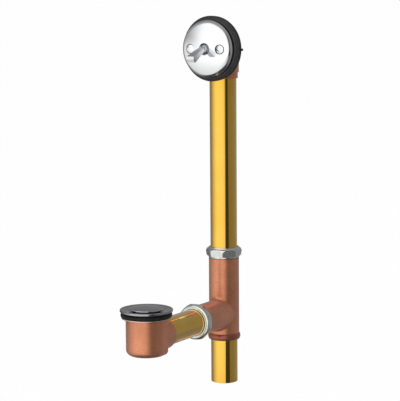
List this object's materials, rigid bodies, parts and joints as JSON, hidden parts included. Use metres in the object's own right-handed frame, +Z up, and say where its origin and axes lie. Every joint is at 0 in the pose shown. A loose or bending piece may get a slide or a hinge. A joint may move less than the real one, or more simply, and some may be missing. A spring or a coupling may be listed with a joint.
{
  "type": "bath waste and overflow",
  "caption": "Brass bath waste and overflow: riser with trip-lever face plate, tee and tailpiece, side arm, waste shoe, drain flange and a pop-up plug.",
  "frame": {"origin": "centre of the tailpiece's lower end", "axes": "+Z up the tailpiece and the overflow tube; -Y from the overflow tube towards the drain; X across"},
  "size_m": [0.0956, 0.2619, 0.5258],
  "materials": {
    "drawn_brass_tube": "bright drawn tube",
    "cast_brass": "lacquered casting",
    "nickel_plated_nut": "nickel plated casting",
    "polished_chrome": "mirror polished",
    "chromed_screw": "polished screw",
    "black_rubber": "matt moulded",
    "slip_washer_plastic": "moulded",
    "zinc_plated_steel": "zinc plated",
    "spring_steel": "blank spring strip",
    "turned_brass": "turned and bent rod"
  },
  "bodies": {
    "waste": {"tailpiece": "drawn_brass_tube", "waste_tee": "cast_brass", "tee_top_slip_washer": "slip_washer_plastic", "tee_top_slip_nut": "nickel_plated_nut", "tee_side_slip_washer": "slip_washer_plastic", "tee_side_slip_nut": "nickel_plated_nut", "overflow_tube": "drawn_brass_tube", "overflow_elbow": "cast_brass", "overflow_gasket": "black_rubber", "overflow_face_plate": "polished_chrome", "face_plate_screws": "chromed_screw", "lever_bracket": "zinc_plated_steel", "lever_pivot_pin": "zinc_plated_steel", "lever_tension_spring": "spring_steel", "waste_arm_tube": "drawn_brass_tube", "waste_shoe": "cast_brass", "shoe_gasket": "black_rubber", "drain_flange": "polished_chrome"},
    "lever": {"trip_lever": "polished_chrome"},
    "linkage": {"linkage_pin": "zinc_plated_steel", "linkage_yoke": "turned_brass", "linkage_upper_rod": "turned_brass", "linkage_lock_nut": "turned_brass", "linkage_barrel": "turned_brass", "linkage_lower_rod": "turned_brass", "linkage_spring": "turned_brass"},
    "rocker": {"rocker_arm": "turned_brass"},
    "plug": {"stopper_cap": "polished_chrome", "stopper_seal": "black_rubber", "stopper_stem": "turned_brass", "stopper_guide": "turned_brass", "stopper_lock_nut": "turned_brass", "stopper_hinge_pin": "turned_brass"}
  },
  "joints": [
    {"name": "lever_pivot", "type": "hinge", "parent": "waste", "child": "lever", "pos_m": [0, -0.046, 0.4804], "axis": [-1, 0, 0], "range_deg": [0, 38]},
    {"name": "linkage_pivot", "type": "hinge", "parent": "lever", "child": "linkage", "pos_m": [0, -0.0044, 0.49473], "axis": [-1, 0, 0], "range_deg": [-38, 0]},
    {"name": "rocker_pivot", "type": "hinge", "parent": "waste", "child": "rocker", "pos_m": [0, -0.142, 0.09], "axis": [-1, 0, 0], "range_deg": [0, 12]},
    {"name": "plug_lift", "type": "slide", "parent": "waste", "child": "plug", "axis": [0, 0, 1], "range_m": [0, 0.01226]}
  ],
  "couplings": [
    {"joint": "linkage_pivot", "follows": "lever_pivot", "ratio": -1},
    {"joint": "rocker_pivot", "follows": "lever_pivot", "ratio": 0.31579},
    {"joint": "plug_lift", "follows": "lever_pivot", "m_per_rad": 0.01847}
  ]
}
